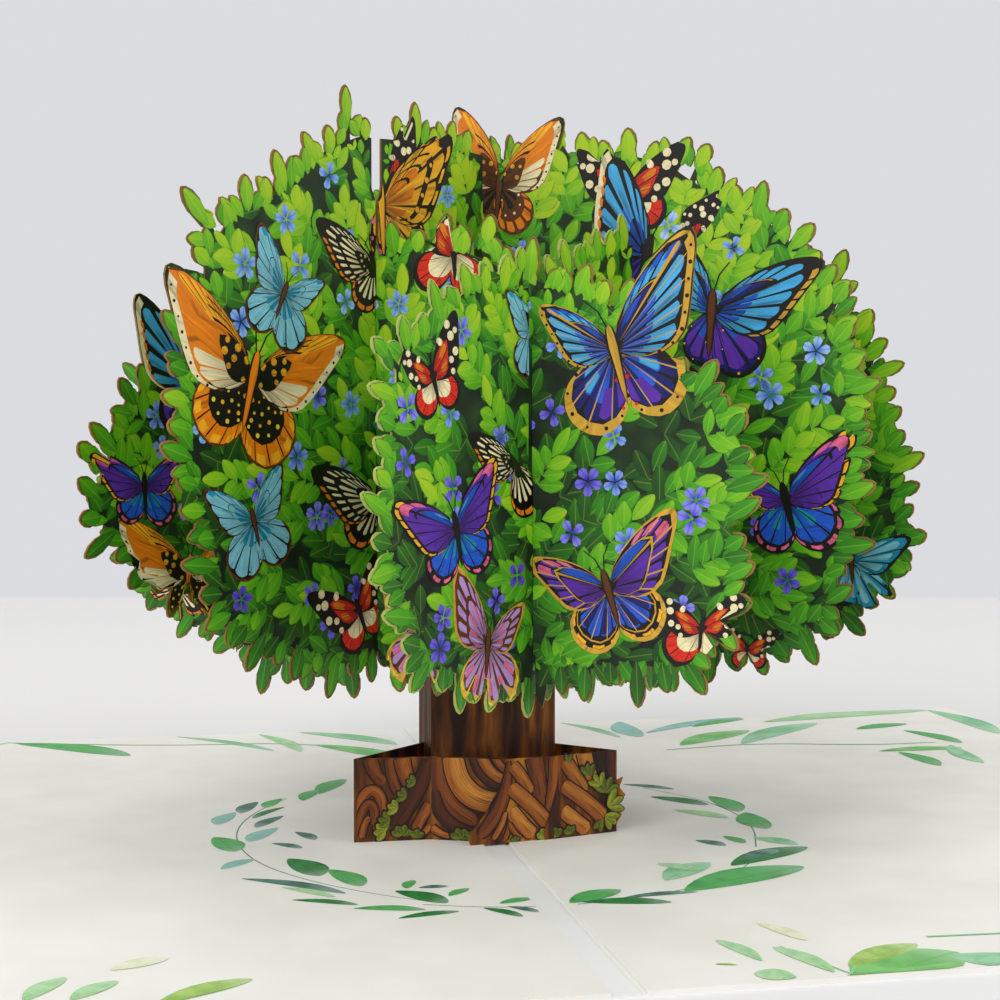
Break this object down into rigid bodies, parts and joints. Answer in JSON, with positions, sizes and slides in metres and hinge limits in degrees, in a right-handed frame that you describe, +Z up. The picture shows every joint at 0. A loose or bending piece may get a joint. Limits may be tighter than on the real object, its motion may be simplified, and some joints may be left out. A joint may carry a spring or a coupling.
{
  "type": "pop up card",
  "caption": "Opened greeting card with a slotted paper tree of leaves and butterflies on a hexagonal trunk with a root skirt.",
  "frame": {"origin": "bottom centre of the opened card's box, on the spine fold", "axes": "+X across the spine to the right page, +Y along the spine to the back, +Z up"},
  "size_m": [0.297, 0.21, 0.1376],
  "materials": {
    "card_cover": "matte white folded card",
    "page_print": "matte white page with a green watercolour leaf wreath",
    "trunk_print": "satin printed bark",
    "root_print": "satin printed roots with moss",
    "crown_print": "satin printed leaves, flowers and butterflies on both faces"
  },
  "bodies": {
    "root": {"cover_card": "card_cover", "liner_left": "page_print", "liner_right": "page_print", "trunk_tube": "trunk_print", "root_skirt": "root_print", "crown_a_front": "crown_print", "crown_a_middle": "crown_print", "crown_a_back": "crown_print", "crown_b_front": "crown_print", "crown_b_middle": "crown_print", "crown_b_back": "crown_print"}
  },
  "joints": []
}
